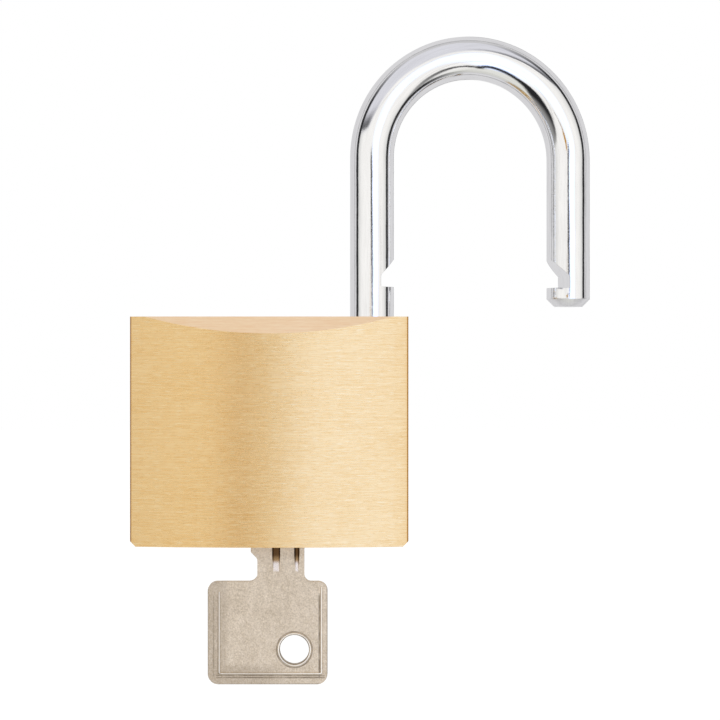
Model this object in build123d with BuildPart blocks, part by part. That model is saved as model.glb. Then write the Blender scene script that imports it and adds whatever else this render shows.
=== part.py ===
from build123d import *

import math
import os

# Cylinder padlock, popped open with its key in place, in millimetres.
# The origin is the centre of the plug's face, where the key goes in.
# +X runs from the toe side to the heel side, -Y is the front, +Z is up.

# Body
body_width = 50.0
body_height = 41.3
body_thickness = 18.0
face_radius = 105.0
bevel_run = 2.4
bevel_drop = 3.05
side_edge_round = 0.35
bottom_chamfer = 1.0
bore_mouth_chamfer = 0.4

# Shackle
bar_diameter = 8.0
leg_inset = 6.5
shackle_rise = 15.0
inner_height_open = 43.4
toe_gap_open = 2.0
toe_chamfer = 1.4
shackle_swing = 168.0
shackle_fit = 0.15
toe_bore_spare = 1.3

# Notches that the bolts enter
shelf_above_toe = 3.45
notch_depth = 3.2
notch_flat = 2.1

# Neck and collar of the heel, with the pin that runs in the neck
neck_radius = 2.85
collar_height = 2.2
collar_chamfer = 0.5
retaining_pin_radius = 1.1
retaining_pin_gap = 0.12
retaining_pin_past_leg = 4.1
neck_below_top = 0.8

# Spring under the heel
heel_bore_floor = 1.6
cup_radius = 3.5
cup_thickness = 1.0
cup_gap = 0.02
cup_stem_radius = 1.7
cup_stem_length = 2.2
shackle_spring_wire = 0.8
shackle_spring_turns = 4

# Plug, its snap ring and the cam on top of it
plug_radius = 6.5
cam_below_bolts = 0.65
plug_fit = 0.05
plug_edge_chamfer = 0.3
ring_depth = 0.6
ring_proud = 0.5
ring_height = 0.9
ring_below_top = 1.05
ring_fit = 0.05
ring_opening = 40.0
slot_width = 2.5
slot_length = 9.0
slot_depth = 1.5
slot_fit = 0.05
cam_disc_radius = 5.4
cam_disc_height = 1.5
cam_lobe_height = 3.7
cam_hub_radius = 1.7
cam_contact_start = 0.35
cam_gap = 0.03

# Bolts
bolt_radius = 3.25
bolt_channel_fit = 0.1
bolt_shelf_gap = 0.1
bolt_flat_below_axis = 2.9
bolt_nose_height = 1.9
bolt_notch_gap = 0.2
bolt_release_gap = 0.15
bolt_pressed_gap = 0.25
bolt_shoulder_x = 10.5
bolt_tail_gap = 0.1
hook_thickness = 1.5
hook_inner_y = 1.85
hook_outer_y = 3.2
hook_disc_gap = 0.3
bolt_spring_radius = 1.1
bolt_spring_wire = 0.4
bolt_spring_turns = 4

# All springs
spring_corners = 8
spring_end_gap = 0.1

# Pin stacks
pin_count = 5
pin_radius = 1.4
chamber_fit = 0.05
key_pin_nose = 0.85
pin_seat_gap = 0.1
key_pin_shy = 0.2
driver_shy = 0.12
driver_length = 4.4
plug_pin_hole_end = 3.0
chamber_plug_length = 2.6
closing_plug_fit = 0.02
driver_spring_radius = 1.05
driver_spring_wire = 0.35
driver_spring_turns = 4

# Key
blade_left = -2.3
blade_inside_rim = 0.3
blade_below_plug_top = 3.4
key_thickness = 2.2
keyway_fit = 0.1
keyway_spare = 0.4
first_cut_depth = 0.5
cut_step = 0.6
cut_land = 0.75
blade_tip_slope = 2.4
blade_tip_left = 1.6
shoulder_width = 1.2
shoulder_height = 1.3
shoulder_gap = 0.05
neck_length = 6.65
bow_left = -11.3
bow_right = 10.4
bow_height = 18.65
bow_corner = 1.6
neck_fillet_left = 1.4
neck_fillet_right = 1.8
ring_hole_x = 4.4
ring_hole_above_bottom = 6.3
ring_hole_radius = 2.65
ring_hole_rim = 0.5
relief_height = 0.18
border_inset_left = 2.1
border_inset_right = 1.15
border_inset_bottom = 2.0
border_inset_top = 1.8
border_width = 0.5
rim_step = 0.15
groove_depth = 0.7
groove_start = 4.8
groove_run_out = 2.2
front_grooves = ((0.3, 1.9), (4.3, 5.4))
back_grooves = ((2.3, 3.7),)

# How near an edge or corner must lie to the place where it is looked for
selector_reach = 0.01

# Places that follow from the sizes above
half_width = body_width / 2
half_thickness = body_thickness / 2
face_sagitta = face_radius - math.sqrt(face_radius**2 - half_width**2)
side_half_thickness = half_thickness - face_sagitta

bar_radius = bar_diameter / 2
leg_x = half_width - leg_inset
shackle_span = 2 * leg_x
crown_z = body_height + inner_height_open - (leg_x - bar_radius)
toe_tip_z = body_height + toe_gap_open
shelf_z = toe_tip_z + shelf_above_toe
slant_end_z = shelf_z + notch_flat + notch_depth + bar_radius
bore_radius = bar_radius + shackle_fit
toe_bore_floor = toe_tip_z - shackle_rise - toe_bore_spare

bolt_underside_z = shelf_z - shackle_rise + bolt_shelf_gap
bolt_axis_z = bolt_underside_z + bolt_flat_below_axis
bolt_reach = leg_x - bar_radius + notch_depth - bolt_notch_gap
bolt_stroke = notch_depth - bolt_notch_gap + bolt_release_gap
bolt_pressed = notch_depth - bolt_notch_gap + bolt_pressed_gap
channel_radius = bolt_radius + bolt_channel_fit

neck_top_z = body_height - neck_below_top
retaining_pin_z = neck_top_z - shackle_rise - retaining_pin_gap - retaining_pin_radius
collar_top_z = retaining_pin_z - retaining_pin_radius - retaining_pin_gap
heel_end_z = collar_top_z - collar_height
cup_top_z = heel_end_z - cup_gap
retaining_pin_y = neck_radius + retaining_pin_gap + retaining_pin_radius
retaining_pin_end_x = leg_x - retaining_pin_past_leg

plug_length = bolt_underside_z - cam_below_bolts - cam_lobe_height - cam_disc_height
ring_inner_radius = plug_radius - ring_depth
ring_outer_radius = plug_radius + ring_proud
ring_z = plug_length - ring_below_top - ring_height

involute_base = bolt_stroke / (math.pi / 2)
hook_face_x = cam_contact_start + cam_gap
tail_end_x = hook_face_x + hook_thickness
hook_bottom_z = plug_length + cam_disc_height + hook_disc_gap

chamber_radius = pin_radius + chamber_fit
pin_pitch = ring_z / (pin_count + 1)
pin_heights = [pin_pitch * (index + 1) for index in range(pin_count)]
cut_roots = [blade_left + first_cut_depth + cut_step * index for index in range(pin_count)]
key_pin_outer_x = -(plug_radius - key_pin_shy)
driver_inner_x = -(plug_radius + driver_shy)
driver_outer_x = driver_inner_x - driver_length
chamber_plug_inner_x = -half_width + chamber_plug_length

blade_right = plug_radius - blade_inside_rim
blade_length = plug_length - blade_below_plug_top
bow_top_z = -neck_length
bow_bottom_z = bow_top_z - bow_height
ring_hole_z = bow_bottom_z + ring_hole_above_bottom

swing_direction = math.radians(180 - shackle_swing)
shackle_plane = Plane(
    origin=(leg_x, 0, 0),
    x_dir=(math.cos(swing_direction), math.sin(swing_direction), 0),
    z_dir=(math.sin(swing_direction), -math.cos(swing_direction), 0),
)
left_side = Plane.YZ.offset(-half_width)

os.makedirs("parts", exist_ok=True)


def save(piece, name):
    """Label a finished piece and write it as its own file."""
    piece.label = name
    export_step(piece, f"parts/{name}.step")


def coil_spring(seat, length, radius, wire, turns):
    """A coil of square wire that stands on the seat plane, radius being that of the wire's centre."""
    steps = turns * spring_corners
    rise = length - spring_end_gap - wire
    bends = []
    for step in range(steps + 1):
        angle = 2 * math.pi * step / spring_corners
        height = (spring_end_gap + wire) / 2 + rise * step / steps
        bends.append((radius * math.cos(angle), radius * math.sin(angle), height))
    with BuildPart() as spring:
        with BuildLine(seat) as path:
            Polyline(*bends)
        with BuildSketch(Plane(origin=path.line @ 0, x_dir=seat.z_dir, z_dir=path.line % 0)):
            Rectangle(wire, wire)
        sweep(transition=Transition.RIGHT)
    return spring.part


# Lock body: a block with bowed faces, bevelled along the top edges and bored for the works
with BuildPart() as lock_body:
    with BuildSketch(Plane.XY) as plan:
        with BuildLine():
            front = ThreePointArc(
                (-half_width, -side_half_thickness),
                (0, -half_thickness),
                (half_width, -side_half_thickness),
            )
            back = ThreePointArc(
                (half_width, side_half_thickness),
                (0, half_thickness),
                (-half_width, side_half_thickness),
            )
            Line(front @ 1, back @ 0)
            Line(back @ 1, front @ 0)
        make_face()
        fillet(plan.vertices(), side_edge_round)
    extrude(amount=body_height)

    # Planar bevels along the front and back top edges
    with BuildSketch(Plane.YZ):
        with BuildLine():
            Polyline(
                (bevel_run - half_thickness, body_height),
                (-bevel_run - half_thickness, body_height - 2 * bevel_drop),
                (-bevel_run - half_thickness, body_height + bevel_drop),
                (bevel_run - half_thickness, body_height + bevel_drop),
                close=True,
            )
        make_face()
        mirror(about=Plane.YZ)
    extrude(amount=half_width, both=True, mode=Mode.SUBTRACT)

    # Chamfered lower side edges
    with BuildSketch(Plane.XZ):
        with BuildLine():
            Polyline(
                (half_width - 2 * bottom_chamfer, -bottom_chamfer),
                (half_width + bottom_chamfer, 2 * bottom_chamfer),
                (half_width + bottom_chamfer, -bottom_chamfer),
                close=True,
            )
        make_face()
        mirror(about=Plane.YZ)
    extrude(amount=half_thickness, both=True, mode=Mode.SUBTRACT)

    # Bore of the plug, which runs on into the bolts' channel
    with BuildSketch(Plane.XY):
        Circle(plug_radius + plug_fit)
    extrude(amount=bolt_axis_z, mode=Mode.SUBTRACT)
    with BuildSketch(Plane.XY.offset(ring_z - ring_fit)):
        Circle(ring_outer_radius + ring_fit)
    extrude(amount=ring_height + 2 * ring_fit, mode=Mode.SUBTRACT)

    # Bores of the heel and the toe
    with BuildSketch(Plane.XY.offset(heel_bore_floor)):
        with Locations((leg_x, 0)):
            Circle(bore_radius)
    extrude(amount=body_height - heel_bore_floor, mode=Mode.SUBTRACT)
    with BuildSketch(Plane.XY.offset(toe_bore_floor)):
        with Locations((-leg_x, 0)):
            Circle(bore_radius)
    extrude(amount=body_height - toe_bore_floor, mode=Mode.SUBTRACT)
    rims = lock_body.edges().filter_by(GeomType.CIRCLE).group_by(Axis.Z)[-1]
    mouths = rims.filter_by(lambda rim: math.isclose(rim.radius, bore_radius, abs_tol=selector_reach))
    chamfer(mouths, bore_mouth_chamfer)

    # Pin chambers and the bolts' channel, drilled from the toe side
    with BuildSketch(left_side):
        with Locations(*[(0, height) for height in pin_heights]):
            Circle(chamber_radius)
    extrude(amount=half_width - plug_radius + chamber_radius, mode=Mode.SUBTRACT)
    with BuildSketch(left_side):
        with Locations((0, bolt_axis_z)):
            Circle(channel_radius)
    extrude(amount=half_width + leg_x, mode=Mode.SUBTRACT)

    # Hole of the pin that holds the heel, drilled from the heel side
    with BuildSketch(Plane.YZ.offset(half_width)):
        with Locations((retaining_pin_y, retaining_pin_z)):
            Circle(retaining_pin_radius + closing_plug_fit)
    extrude(amount=retaining_pin_end_x - half_width, mode=Mode.SUBTRACT)
save(lock_body.part, "lock_body")

# Closing plugs, flush with the toe side
with BuildPart() as chamber_plugs:
    with BuildSketch(left_side):
        with Locations(*[(0, height) for height in pin_heights]):
            Circle(chamber_radius - closing_plug_fit)
    extrude(amount=chamber_plug_length)
save(chamber_plugs.part, "chamber_plugs")

with BuildPart() as bolt_channel_plug:
    with BuildSketch(left_side):
        with Locations((0, bolt_axis_z)):
            Circle(channel_radius - closing_plug_fit)
    extrude(amount=half_width - leg_x - bore_radius - shackle_fit)
save(bolt_channel_plug.part, "bolt_channel_plug")

# Pin that stands in the bore beside the heel's neck
with BuildPart() as shackle_retaining_pin:
    with BuildSketch(Plane.YZ.offset(half_width)):
        with Locations((retaining_pin_y, retaining_pin_z)):
            Circle(retaining_pin_radius)
    extrude(amount=retaining_pin_end_x - half_width)
save(shackle_retaining_pin.part, "shackle_retaining_pin")

# Shackle: round bar, bent to a half circle, with both inner sides notched
with BuildPart() as shackle:
    with BuildLine(shackle_plane):
        Line((0, neck_top_z), (0, crown_z))
        crown = CenterArc((leg_x, crown_z), leg_x, 180, -180)
        Line(crown @ 1, (shackle_span, toe_tip_z))
    with BuildSketch(Plane.XY.offset(neck_top_z)):
        with Locations((leg_x, 0)):
            Circle(bar_radius)
    sweep()
    chamfer(shackle.faces().filter_by(Axis.Z).sort_by(Axis.X)[-1].edges(), toe_chamfer)

    with BuildSketch(shackle_plane):
        for leg_side, inward in ((bar_radius, -1), (shackle_span - bar_radius, 1)):
            with BuildLine():
                Polyline(
                    (leg_side + inward * notch_depth, shelf_z),
                    (leg_side + inward * notch_depth, shelf_z + notch_flat),
                    (leg_side - inward * bar_radius, slant_end_z),
                    (leg_side - inward * bar_radius, shelf_z),
                    close=True,
                )
            make_face()
    extrude(amount=bar_diameter, both=True, mode=Mode.SUBTRACT)

    # Turned-down neck and the collar at the heel's end
    with BuildSketch(Plane.XY.offset(collar_top_z)):
        with Locations((leg_x, 0)):
            Circle(neck_radius)
    extrude(amount=neck_top_z - collar_top_z)
    with BuildSketch(Plane.XY.offset(heel_end_z)):
        with Locations((leg_x, 0)):
            Circle(bar_radius)
    extrude(amount=collar_height)
    chamfer(shackle.faces().sort_by(Axis.Z)[0].edges(), collar_chamfer)
save(shackle.part, "shackle")

# Cup between the heel and its spring
with BuildPart() as spring_cup:
    with BuildSketch(Plane.XY.offset(cup_top_z - cup_thickness)):
        with Locations((leg_x, 0)):
            Circle(cup_radius)
    extrude(amount=cup_thickness)
    with BuildSketch(Plane.XY.offset(cup_top_z - cup_thickness)):
        with Locations((leg_x, 0)):
            Circle(cup_stem_radius)
    extrude(amount=-cup_stem_length)
save(spring_cup.part, "spring_cup")

shackle_spring = coil_spring(
    seat=Plane(origin=(leg_x, 0, heel_bore_floor)),
    length=cup_top_z - cup_thickness - heel_bore_floor,
    radius=cup_radius - shackle_spring_wire / 2,
    wire=shackle_spring_wire,
    turns=shackle_spring_turns,
)
save(shackle_spring, "shackle_spring")

# Plug: slotted for the key, with ribs that fit the key's grooves
with BuildPart() as plug:
    with BuildSketch(Plane.XY):
        Circle(plug_radius)
    extrude(amount=plug_length)
    chamfer(plug.faces().sort_by(Axis.Z)[0].edges(), plug_edge_chamfer)

    # Groove of the snap ring
    with BuildSketch(Plane.XY.offset(ring_z - ring_fit)):
        Circle(plug_radius)
        Circle(ring_inner_radius - ring_fit, mode=Mode.SUBTRACT)
    extrude(amount=ring_height + 2 * ring_fit, mode=Mode.SUBTRACT)

    # Holes of the key pins
    with BuildSketch(Plane.YZ.offset(-plug_radius)):
        with Locations(*[(0, height) for height in pin_heights]):
            Circle(chamber_radius)
    extrude(amount=plug_radius + plug_pin_hole_end, mode=Mode.SUBTRACT)

    # Keyway, open towards the key's straight edge
    keyway_half = key_thickness / 2 + keyway_fit
    rib_half = key_thickness / 2 - groove_depth + keyway_fit
    with BuildSketch(Plane.XY):
        with Locations((blade_left - keyway_fit, 0)):
            Rectangle(
                plug_radius - blade_left + keyway_fit,
                2 * keyway_half,
                align=(Align.MIN, Align.CENTER),
            )
        for grooves, side in ((front_grooves, -1), (back_grooves, 1)):
            for groove_left, groove_right in grooves:
                with BuildLine(mode=Mode.PRIVATE) as rib:
                    Polyline(
                        (groove_left + keyway_fit, side * rib_half),
                        (groove_right - keyway_fit, side * rib_half),
                        (groove_right - keyway_fit, side * keyway_half),
                        (groove_left + keyway_fit, side * keyway_half),
                        close=True,
                    )
                make_face(rib.edges(), mode=Mode.SUBTRACT)
    extrude(amount=blade_length + keyway_spare, mode=Mode.SUBTRACT)

    # Slot for the cam's tongue
    with BuildSketch(Plane.XY.offset(plug_length - slot_depth - slot_fit)):
        Rectangle(slot_length + 2 * slot_fit, slot_width + 2 * slot_fit)
    extrude(amount=slot_depth + slot_fit, mode=Mode.SUBTRACT)
save(plug.part, "plug")

# Snap ring, half in the plug's groove and half in the body's
with BuildPart() as plug_snap_ring:
    with BuildSketch(Plane.XY.offset(ring_z)):
        Circle(ring_outer_radius)
        Circle(ring_inner_radius, mode=Mode.SUBTRACT)
        opening_width = 2 * ring_outer_radius * math.sin(math.radians(ring_opening / 2))
        with Locations((0, ring_outer_radius)):
            Rectangle(opening_width, ring_outer_radius, mode=Mode.SUBTRACT)
    extrude(amount=ring_height)
save(plug_snap_ring.part, "plug_snap_ring")


def involute_point(reach):
    """Point of the front lobe's flank whose tangent length from the base circle is reach."""
    angle = -math.pi / 2 - (reach - cam_contact_start) / involute_base
    return (
        involute_base * math.cos(angle) - reach * math.sin(angle),
        involute_base * math.sin(angle) + reach * math.cos(angle),
    )


# Cam: two involute lobes, so that each bolt moves in step with the key's turn
with BuildPart() as cam:
    with BuildSketch(Plane.XY.offset(plug_length)):
        Circle(cam_disc_radius)
    extrude(amount=cam_disc_height)
    with BuildSketch(Plane.XY.offset(plug_length)):
        Rectangle(slot_length, slot_width)
    extrude(amount=-slot_depth)
    flank_steps = 6
    with BuildSketch(Plane.XY.offset(plug_length + cam_disc_height)) as lobe:
        with BuildLine():
            flank = Spline(
                *[
                    involute_point(cam_contact_start + bolt_stroke * step / flank_steps)
                    for step in range(flank_steps + 1)
                ]
            )
            lobe_tip = flank @ 1
            Polyline(
                lobe_tip,
                (lobe_tip.X - cam_hub_radius, lobe_tip.Y / 2),
                (-cam_hub_radius, 0),
                (0, 0),
                flank @ 0,
            )
        make_face()
        add(lobe.sketch_local, rotation=180)
        Circle(cam_hub_radius)
    extrude(amount=cam_lobe_height)
save(cam.part, "cam")

# Bolts: a slanted nose for the notch, and a half-round tail that hooks down to the cam
with BuildPart() as bolt_toe:
    with BuildSketch(Plane.YZ.offset(-bolt_reach)):
        with Locations((0, bolt_axis_z)):
            Circle(bolt_radius)
    extrude(amount=bolt_reach - bolt_shoulder_x)
    with BuildSketch(Plane.YZ.offset(-bolt_shoulder_x)):
        with Locations((0, bolt_axis_z)):
            Circle(bolt_radius)
        with Locations((-bolt_tail_gap, bolt_axis_z)):
            Rectangle(
                bolt_radius,
                2 * bolt_radius,
                align=(Align.MAX, Align.CENTER),
                mode=Mode.INTERSECT,
            )
    extrude(amount=bolt_shoulder_x + tail_end_x)
    with BuildSketch(Plane.XY.offset(hook_bottom_z)):
        with Locations((hook_face_x, -hook_inner_y)):
            Rectangle(hook_thickness, hook_outer_y - hook_inner_y, align=(Align.MIN, Align.MAX))
    extrude(amount=bolt_axis_z - hook_bottom_z)

    # Flat underside and slanted top of the nose
    nose_top_z = bolt_axis_z + bolt_radius
    slant_rise = nose_top_z - bolt_underside_z - bolt_nose_height
    with BuildSketch(Plane.XZ):
        with BuildLine():
            Polyline(
                (-bolt_reach, nose_top_z - slant_rise),
                (-bolt_reach + slant_rise, nose_top_z),
                (-bolt_reach, nose_top_z),
                close=True,
            )
        make_face()
        with Locations((-bolt_reach, bolt_underside_z)):
            Rectangle(
                bolt_reach - bolt_shoulder_x,
                bolt_radius - bolt_flat_below_axis,
                align=(Align.MIN, Align.MAX),
            )
    extrude(amount=bolt_radius, both=True, mode=Mode.SUBTRACT)
save(bolt_toe.part, "bolt_toe")

# The heel's bolt is the same piece turned half round, pressed back by the raised heel
with BuildPart() as bolt_heel:
    with Locations((-bolt_pressed, 0, 0)):
        add(bolt_toe.part, rotation=(0, 0, 180))
save(bolt_heel.part, "bolt_heel")

# Each bolt spring stands between one bolt's tail and the other's shoulder
bolt_spring_length = bolt_shoulder_x - bolt_pressed - tail_end_x
bolt_spring_y = bolt_tail_gap + bolt_radius / 2
for name, start_x, side in (
    ("bolt_spring_front", tail_end_x, -1),
    ("bolt_spring_rear", -bolt_shoulder_x, 1),
):
    bolt_spring = coil_spring(
        seat=Plane(origin=(start_x, side * bolt_spring_y, bolt_axis_z), z_dir=(1, 0, 0)),
        length=bolt_spring_length,
        radius=bolt_spring_radius,
        wire=bolt_spring_wire,
        turns=bolt_spring_turns,
    )
    save(bolt_spring, name)

# Pin stacks: a key pin on each cut, a driver pin outside the plug, and its spring
for index, height in enumerate(pin_heights):
    key_pin_length = cut_roots[index] - pin_seat_gap - key_pin_outer_x
    with BuildPart() as key_pin:
        with BuildSketch(Plane.YZ.offset(key_pin_outer_x)):
            with Locations((0, height)):
                Circle(pin_radius)
        extrude(amount=key_pin_length)
        chamfer(key_pin.faces().sort_by(Axis.X)[-1].edges(), key_pin_nose)
    save(key_pin.part, f"key_pin_{index + 1}")

    with BuildPart() as driver_pin:
        with BuildSketch(Plane.YZ.offset(driver_inner_x)):
            with Locations((0, height)):
                Circle(pin_radius)
        extrude(amount=-driver_length)
    save(driver_pin.part, f"driver_pin_{index + 1}")

    driver_spring = coil_spring(
        seat=Plane(origin=(chamber_plug_inner_x, 0, height), z_dir=(1, 0, 0)),
        length=driver_outer_x - chamber_plug_inner_x,
        radius=driver_spring_radius,
        wire=driver_spring_wire,
        turns=driver_spring_turns,
    )
    save(driver_spring, f"driver_spring_{index + 1}")

# Key: stamped blank with cuts that deepen towards the tip, grooves and a framed bow
with BuildPart() as key:
    with BuildSketch(Plane.XZ) as blank:
        with Locations(((bow_left + bow_right) / 2, bow_top_z)):
            Rectangle(bow_right - bow_left, bow_height, align=(Align.CENTER, Align.MAX))
        with Locations((blade_left, bow_top_z)):
            Rectangle(
                blade_right - blade_left,
                neck_length + blade_length,
                align=(Align.MIN, Align.MIN),
            )
        top_row = (bow_top_z - selector_reach, bow_top_z + selector_reach)
        throats = blank.vertices().filter_by_position(Axis.Y, *top_row).sort_by(Axis.X)
        fillet(throats[1], neck_fillet_left)
        throats = blank.vertices().filter_by_position(Axis.Y, *top_row).sort_by(Axis.X)
        fillet(throats[-2], neck_fillet_right)
        corners = blank.vertices().group_by(Axis.X)[0] + blank.vertices().group_by(Axis.X)[-1]
        fillet(corners, bow_corner)

        # Stop shoulder under the plug's face
        with BuildLine():
            Polyline(
                (blade_left, -shoulder_gap),
                (blade_left - shoulder_width, -shoulder_gap),
                (blade_left - shoulder_width, -shoulder_gap - shoulder_height),
                (blade_left, -shoulder_gap - shoulder_height - shoulder_width),
                close=True,
            )
        make_face()

        # Cuts for the pins, then the sloped tip
        cut_points = [(blade_left, pin_heights[0] - cut_land - first_cut_depth)]
        cut_points.append((cut_roots[0], pin_heights[0] - cut_land))
        for height, root in zip(pin_heights[:-1], cut_roots[:-1]):
            cut_points.append((root, height + cut_land))
            cut_points.append((root + cut_step, height + cut_land + cut_step))
        tip_ramp = blade_tip_left - cut_roots[-1]
        cut_points.append((cut_roots[-1], blade_length - tip_ramp))
        cut_points.append((blade_tip_left, blade_length))
        cut_points.append((blade_left, blade_length))
        with BuildLine():
            Polyline(*cut_points, close=True)
        make_face(mode=Mode.SUBTRACT)
        with BuildLine():
            Polyline(
                (blade_right - blade_tip_slope, blade_length),
                (blade_right, blade_length),
                (blade_right, blade_length - blade_tip_slope),
                close=True,
            )
        make_face(mode=Mode.SUBTRACT)
    extrude(amount=key_thickness / 2, both=True)

    # Milled grooves, which run out on the neck
    for grooves, side in ((front_grooves, -1), (back_grooves, 1)):
        for groove_left, groove_right in grooves:
            with BuildSketch(Plane.YZ.offset(groove_left)):
                with BuildLine():
                    Polyline(
                        (side * key_thickness / 2, -groove_start),
                        (side * (key_thickness / 2 - groove_depth), groove_run_out - groove_start),
                        (side * (key_thickness / 2 - groove_depth), blade_length),
                        (side * key_thickness / 2, blade_length),
                        close=True,
                    )
                make_face()
            extrude(amount=groove_right - groove_left, mode=Mode.SUBTRACT)

    # Raised border and ring-hole rim, with the edge outside the border stepped down
    frame_left = bow_left + border_inset_left
    frame_right = bow_right - border_inset_right
    frame_bottom = bow_bottom_z + border_inset_bottom
    frame_top = bow_top_z - border_inset_top
    for side in (1, -1):
        with BuildSketch(Plane.XZ.offset(side * key_thickness / 2)):
            with Locations((bow_left, bow_bottom_z)):
                Rectangle(
                    bow_right - bow_left,
                    frame_top - bow_bottom_z,
                    align=(Align.MIN, Align.MIN),
                )
            with Locations((frame_left, frame_bottom)):
                Rectangle(
                    frame_right - frame_left,
                    frame_top - frame_bottom,
                    align=(Align.MIN, Align.MIN),
                    mode=Mode.SUBTRACT,
                )
        extrude(amount=-side * rim_step, mode=Mode.SUBTRACT)
        with BuildSketch(Plane.XZ.offset(side * key_thickness / 2)):
            with Locations((frame_left, frame_bottom)):
                Rectangle(
                    frame_right - frame_left,
                    frame_top - frame_bottom,
                    align=(Align.MIN, Align.MIN),
                )
            with Locations((frame_left + border_width, frame_bottom + border_width)):
                Rectangle(
                    frame_right - frame_left - 2 * border_width,
                    frame_top - frame_bottom,
                    align=(Align.MIN, Align.MIN),
                    mode=Mode.SUBTRACT,
                )
            with Locations((ring_hole_x, ring_hole_z)):
                Circle(ring_hole_radius + ring_hole_rim)
        extrude(amount=side * relief_height)
    with BuildSketch(Plane.XZ):
        with Locations((ring_hole_x, ring_hole_z)):
            Circle(ring_hole_radius)
    extrude(amount=key_thickness, both=True, mode=Mode.SUBTRACT)
save(key.part, "key")
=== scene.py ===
# %% [markdown]
# A padlock, popped open
#
# The lock is a block of brushed brass with bowed faces. A chromed bar bends over it,
# and a flat key stands in its plug. The CAD model has every part of the works, so this
# script keeps the CAD nodes for what turns and slides inside. It makes the block, the
# shackle, the key and the springs again, with softer edges and closer surfaces.

import math

import bmesh
import bpy
from mathutils import Matrix, Vector


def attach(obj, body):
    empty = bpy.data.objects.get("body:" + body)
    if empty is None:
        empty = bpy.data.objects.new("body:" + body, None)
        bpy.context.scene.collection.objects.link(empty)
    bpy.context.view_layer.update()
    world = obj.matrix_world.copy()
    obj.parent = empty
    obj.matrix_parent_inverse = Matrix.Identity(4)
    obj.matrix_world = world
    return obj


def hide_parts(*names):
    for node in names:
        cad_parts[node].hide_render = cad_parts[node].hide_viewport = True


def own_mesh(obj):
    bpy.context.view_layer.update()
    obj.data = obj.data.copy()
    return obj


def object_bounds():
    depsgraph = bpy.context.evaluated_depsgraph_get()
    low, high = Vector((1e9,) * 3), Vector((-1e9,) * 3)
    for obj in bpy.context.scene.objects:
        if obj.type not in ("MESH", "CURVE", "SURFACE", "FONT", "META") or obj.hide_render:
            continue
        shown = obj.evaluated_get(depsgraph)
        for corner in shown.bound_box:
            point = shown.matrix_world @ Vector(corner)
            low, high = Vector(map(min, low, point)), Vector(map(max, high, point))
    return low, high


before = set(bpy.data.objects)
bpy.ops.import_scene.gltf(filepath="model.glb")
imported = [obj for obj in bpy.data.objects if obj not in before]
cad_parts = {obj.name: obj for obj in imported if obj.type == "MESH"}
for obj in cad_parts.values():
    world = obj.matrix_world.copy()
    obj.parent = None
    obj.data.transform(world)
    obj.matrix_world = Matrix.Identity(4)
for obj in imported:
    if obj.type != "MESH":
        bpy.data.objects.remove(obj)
cad_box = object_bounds()

# %% [markdown]
# The camera
#
# A long lens from half a metre off gives the flat, product-like view: the two sides of the
# block stay parallel and only a sliver of depth shows. The camera looks straight along +Y,
# a little right of the lock's middle, because the shackle is swung out to the right.


# %% Place the camera
def put_in_scene(name, data):
    """A new object from a camera, a lamp or a mesh."""
    thing = bpy.data.objects.new(name, data)
    bpy.context.collection.objects.link(thing)
    return thing


photo_width = 720
pixels_per_metre = 5505
camera_distance = 0.5
camera_x = 0.0163
camera_z = 0.0335

lens = bpy.data.cameras.new("long_lens")
lens.sensor_width = 36
lens.lens = lens.sensor_width * pixels_per_metre * camera_distance / photo_width
lens.clip_start = 0.01
camera = put_in_scene("camera", lens)
camera.location = (camera_x, -camera_distance, camera_z)
camera.rotation_euler = (math.radians(90), 0, 0)
bpy.context.scene.camera = camera
bpy.context.scene.view_settings.view_transform = "Standard"
print("focal length:", round(lens.lens, 1), "mm")

# %% [markdown]
# Sums on sockets
#
# A finish is mostly arithmetic: a streak times a strength plus a base. Wiring Math nodes by
# hand hides the sum, so a small class lets Python's own signs build them. Everything else
# goes through one method that makes a node, sets it up and plugs its sockets.


# %% Write node sums as Python expressions
class Value:
    """A number socket that Python's own signs can work on."""

    def __init__(self, tree, socket):
        self.tree = tree
        self.socket = socket

    def sum_with(self, operation, first, second=0.0):
        """Add one Math node and return its result."""
        return self.tree.value("ShaderNodeMath", {"operation": operation}, {0: first, 1: second})

    def __add__(self, other):
        return self.sum_with("ADD", self, other)

    def __sub__(self, other):
        return self.sum_with("SUBTRACT", self, other)

    def __rsub__(self, other):
        return self.sum_with("SUBTRACT", other, self)

    def __mul__(self, other):
        return self.sum_with("MULTIPLY", self, other)

    def __truediv__(self, other):
        return self.sum_with("DIVIDE", self, other)

    __radd__ = __add__

    def at_least(self, other):
        return self.sum_with("MAXIMUM", self, other)

    def within(self, low, high):
        """The value, held between two limits."""
        return self.sum_with("MINIMUM", self.at_least(low), high)

    def apply(self, operation):
        """A function of the value alone, such as its sine."""
        return self.sum_with(operation, self)

    def size(self):
        return self.apply("ABSOLUTE")

    def step(self, start, end):
        """A smooth rise from 0 at start to 1 at end."""
        ends = {0: self, 1: start, 2: end, 3: 0.0, 4: 1.0}
        return self.tree.value("ShaderNodeMapRange", {"interpolation_type": "SMOOTHSTEP"}, ends)

    def fall(self, start, end):
        """A smooth fall from 1 at start to 0 at end."""
        return 1 - self.step(start, end)


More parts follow.
